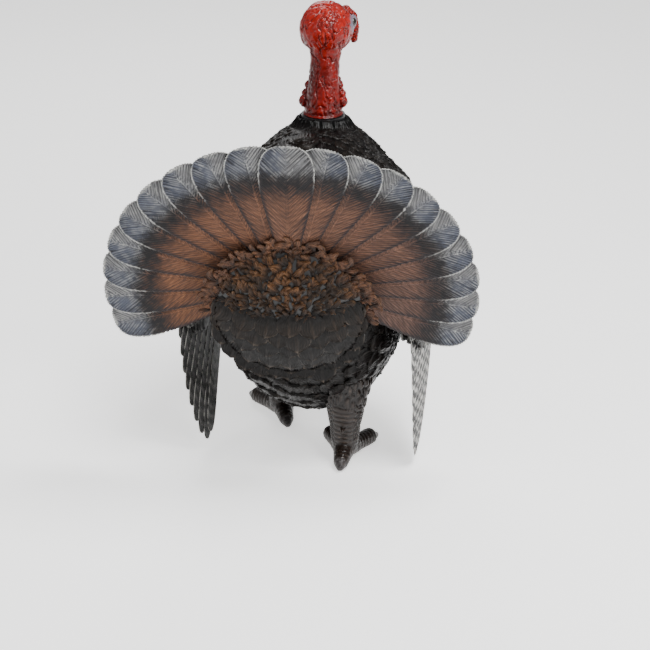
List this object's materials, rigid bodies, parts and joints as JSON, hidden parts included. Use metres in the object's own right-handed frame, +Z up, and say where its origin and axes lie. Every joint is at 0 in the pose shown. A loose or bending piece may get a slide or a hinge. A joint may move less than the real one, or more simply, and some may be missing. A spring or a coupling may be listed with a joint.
{
  "type": "turkey decoy",
  "caption": "Strutting tom turkey field decoy with a folding tail fan that tilts, drooping wings and a turning head.",
  "frame": {"origin": "centre of the bounding box's base, on the plane the soles stand on", "axes": "+Z up, +Y the way the bird faces, +X to its right-hand side"},
  "size_m": [0.5173, 0.5006, 0.634],
  "materials": {
    "body_plumage": "moulded black-brown feathers, satin",
    "covert_plumage": "moulded rust and brown coverts over black, satin",
    "wing_plumage": "black moulding, off-white bars brushed on",
    "tail_vane": "rust-brown blade, dark band, grey tip, dry-brushed edges",
    "red_skin": "glossy red with dark wash in the wrinkles",
    "leg_scales": "black-brown scaled legs, semi-gloss",
    "beak_horn": "horn, semi-gloss",
    "eye_gloss": "polished black",
    "beard_bristle": "stiff black bristle",
    "black_moulding": "fine-grained black plastic",
    "zinc_screws": "zinc-plated, brushed"
  },
  "bodies": {
    "body": {"body_shell_left": "body_plumage", "body_shell_right": "body_plumage", "shell_screws": "zinc_screws", "stake_socket": "black_moulding", "neck_socket": "black_moulding", "beard_ferrule": "black_moulding", "beard": "beard_bristle", "leg_left": "leg_scales", "leg_right": "leg_scales", "leg_retainers": "black_moulding", "rump_bracket": "black_moulding", "rump_bracket_screws": "zinc_screws", "tilt_pin": "zinc_screws", "tilt_knob": "black_moulding", "wing_hinge_left": "black_moulding", "wing_hinge_right": "black_moulding", "wing_hinge_pins": "zinc_screws", "wing_hinge_screws": "zinc_screws", "shoulder_cover_left": "body_plumage", "shoulder_cover_right": "body_plumage"},
    "head_and_neck": {"neck": "red_skin", "neck_peg": "black_moulding", "neck_retainer": "zinc_screws", "neck_bolt": "zinc_screws", "head_shell": "red_skin", "upper_beak": "beak_horn", "lower_beak": "beak_horn", "snood": "red_skin", "eyes": "eye_gloss", "dewlap": "red_skin", "caruncles": "red_skin"},
    "tail_fan": {"tail_bracket": "black_moulding", "hub_bolt": "zinc_screws", "hub_nut": "zinc_screws", "tail_cover_rear": "covert_plumage", "tail_cover_front": "body_plumage", "tail_feather_centre": "tail_vane"},
    "wing_left": {"wing_coverts_left": "wing_plumage", "wing_flights_left": "wing_plumage"},
    "wing_right": {"wing_coverts_right": "wing_plumage", "wing_flights_right": "wing_plumage"},
    "feather_left_1": {"tail_feather_left_1": "tail_vane"},
    "feather_right_1": {"tail_feather_right_1": "tail_vane"},
    "feather_left_2": {"tail_feather_left_2": "tail_vane"},
    "feather_right_2": {"tail_feather_right_2": "tail_vane"},
    "feather_left_3": {"tail_feather_left_3": "tail_vane"},
    "feather_right_3": {"tail_feather_right_3": "tail_vane"},
    "feather_left_4": {"tail_feather_left_4": "tail_vane"},
    "feather_right_4": {"tail_feather_right_4": "tail_vane"},
    "feather_left_5": {"tail_feather_left_5": "tail_vane"},
    "feather_right_5": {"tail_feather_right_5": "tail_vane"},
    "feather_left_6": {"tail_feather_left_6": "tail_vane"},
    "feather_right_6": {"tail_feather_right_6": "tail_vane"},
    "feather_left_7": {"tail_feather_left_7": "tail_vane"},
    "feather_right_7": {"tail_feather_right_7": "tail_vane"},
    "feather_left_8": {"tail_feather_left_8": "tail_vane"},
    "feather_right_8": {"tail_feather_right_8": "tail_vane"},
    "feather_left_9": {"tail_feather_left_9": "tail_vane"},
    "feather_right_9": {"tail_feather_right_9": "tail_vane"}
  },
  "joints": [
    {"name": "neck_turn", "type": "hinge", "parent": "body", "child": "head_and_neck", "pos_m": [0, 0.1282, 0.453], "axis": [0, 0, 1], "range_deg": [-75, 75]},
    {"name": "tail_tilt", "type": "hinge", "parent": "body", "child": "tail_fan", "pos_m": [-0.00223, -0.12159, 0.27426], "axis": [0.9945, 0.1045, 0], "range_deg": [-24, 3]},
    {"name": "wing_right_droop", "type": "hinge", "parent": "body", "child": "wing_right", "pos_m": [0.137, 0.0582, 0.362], "axis": [0, -1, 0], "range_deg": [0, 30]},
    {"name": "wing_left_droop", "type": "hinge", "parent": "body", "child": "wing_left", "pos_m": [-0.137, 0.0582, 0.362], "axis": [0, 1, 0], "range_deg": [0, 30]},
    {"name": "fold_right_9", "type": "hinge", "parent": "tail_fan", "child": "feather_right_9", "pos_m": [0, -0.1428, 0.316], "axis": [0.1005, -0.956, -0.2756], "range_deg": [0, 93.6]},
    {"name": "fold_left_9", "type": "hinge", "parent": "tail_fan", "child": "feather_left_9", "pos_m": [0, -0.1428, 0.316], "axis": [0.1005, -0.956, -0.2756], "range_deg": [-93.6, 0]},
    {"name": "fold_right_8", "type": "hinge", "parent": "tail_fan", "child": "feather_right_8", "pos_m": [0, -0.1428, 0.316], "axis": [0.1005, -0.956, -0.2756], "range_deg": [0, 83.2]},
    {"name": "fold_left_8", "type": "hinge", "parent": "tail_fan", "child": "feather_left_8", "pos_m": [0, -0.1428, 0.316], "axis": [0.1005, -0.956, -0.2756], "range_deg": [-83.2, 0]},
    {"name": "fold_right_7", "type": "hinge", "parent": "tail_fan", "child": "feather_right_7", "pos_m": [0, -0.1428, 0.316], "axis": [0.1005, -0.956, -0.2756], "range_deg": [0, 72.8]},
    {"name": "fold_left_7", "type": "hinge", "parent": "tail_fan", "child": "feather_left_7", "pos_m": [0, -0.1428, 0.316], "axis": [0.1005, -0.956, -0.2756], "range_deg": [-72.8, 0]},
    {"name": "fold_right_6", "type": "hinge", "parent": "tail_fan", "child": "feather_right_6", "pos_m": [0, -0.1428, 0.316], "axis": [0.1005, -0.956, -0.2756], "range_deg": [0, 62.4]},
    {"name": "fold_left_6", "type": "hinge", "parent": "tail_fan", "child": "feather_left_6", "pos_m": [0, -0.1428, 0.316], "axis": [0.1005, -0.956, -0.2756], "range_deg": [-62.4, 0]},
    {"name": "fold_right_5", "type": "hinge", "parent": "tail_fan", "child": "feather_right_5", "pos_m": [0, -0.1428, 0.316], "axis": [0.1005, -0.956, -0.2756], "range_deg": [0, 52]},
    {"name": "fold_left_5", "type": "hinge", "parent": "tail_fan", "child": "feather_left_5", "pos_m": [0, -0.1428, 0.316], "axis": [0.1005, -0.956, -0.2756], "range_deg": [-52, 0]},
    {"name": "fold_right_4", "type": "hinge", "parent": "tail_fan", "child": "feather_right_4", "pos_m": [0, -0.1428, 0.316], "axis": [0.1005, -0.956, -0.2756], "range_deg": [0, 41.6]},
    {"name": "fold_left_4", "type": "hinge", "parent": "tail_fan", "child": "feather_left_4", "pos_m": [0, -0.1428, 0.316], "axis": [0.1005, -0.956, -0.2756], "range_deg": [-41.6, 0]},
    {"name": "fold_right_3", "type": "hinge", "parent": "tail_fan", "child": "feather_right_3", "pos_m": [0, -0.1428, 0.316], "axis": [0.1005, -0.956, -0.2756], "range_deg": [0, 31.2]},
    {"name": "fold_left_3", "type": "hinge", "parent": "tail_fan", "child": "feather_left_3", "pos_m": [0, -0.1428, 0.316], "axis": [0.1005, -0.956, -0.2756], "range_deg": [-31.2, 0]},
    {"name": "fold_right_2", "type": "hinge", "parent": "tail_fan", "child": "feather_right_2", "pos_m": [0, -0.1428, 0.316], "axis": [0.1005, -0.956, -0.2756], "range_deg": [0, 20.8]},
    {"name": "fold_left_2", "type": "hinge", "parent": "tail_fan", "child": "feather_left_2", "pos_m": [0, -0.1428, 0.316], "axis": [0.1005, -0.956, -0.2756], "range_deg": [-20.8, 0]},
    {"name": "fold_right_1", "type": "hinge", "parent": "tail_fan", "child": "feather_right_1", "pos_m": [0, -0.1428, 0.316], "axis": [0.1005, -0.956, -0.2756], "range_deg": [0, 10.4]},
    {"name": "fold_left_1", "type": "hinge", "parent": "tail_fan", "child": "feather_left_1", "pos_m": [0, -0.1428, 0.316], "axis": [0.1005, -0.956, -0.2756], "range_deg": [-10.4, 0]}
  ],
  "couplings": [
    {"joint": "fold_left_9", "follows": "fold_right_9", "ratio": -1},
    {"joint": "fold_right_8", "follows": "fold_right_9", "ratio": 0.88889},
    {"joint": "fold_left_8", "follows": "fold_right_9", "ratio": -0.88889},
    {"joint": "fold_right_7", "follows": "fold_right_9", "ratio": 0.77778},
    {"joint": "fold_left_7", "follows": "fold_right_9", "ratio": -0.77778},
    {"joint": "fold_right_6", "follows": "fold_right_9", "ratio": 0.66667},
    {"joint": "fold_left_6", "follows": "fold_right_9", "ratio": -0.66667},
    {"joint": "fold_right_5", "follows": "fold_right_9", "ratio": 0.55556},
    {"joint": "fold_left_5", "follows": "fold_right_9", "ratio": -0.55556},
    {"joint": "fold_right_4", "follows": "fold_right_9", "ratio": 0.44444},
    {"joint": "fold_left_4", "follows": "fold_right_9", "ratio": -0.44444},
    {"joint": "fold_right_3", "follows": "fold_right_9", "ratio": 0.33333},
    {"joint": "fold_left_3", "follows": "fold_right_9", "ratio": -0.33333},
    {"joint": "fold_right_2", "follows": "fold_right_9", "ratio": 0.22222},
    {"joint": "fold_left_2", "follows": "fold_right_9", "ratio": -0.22222},
    {"joint": "fold_right_1", "follows": "fold_right_9", "ratio": 0.11111},
    {"joint": "fold_left_1", "follows": "fold_right_9", "ratio": -0.11111}
  ]
}
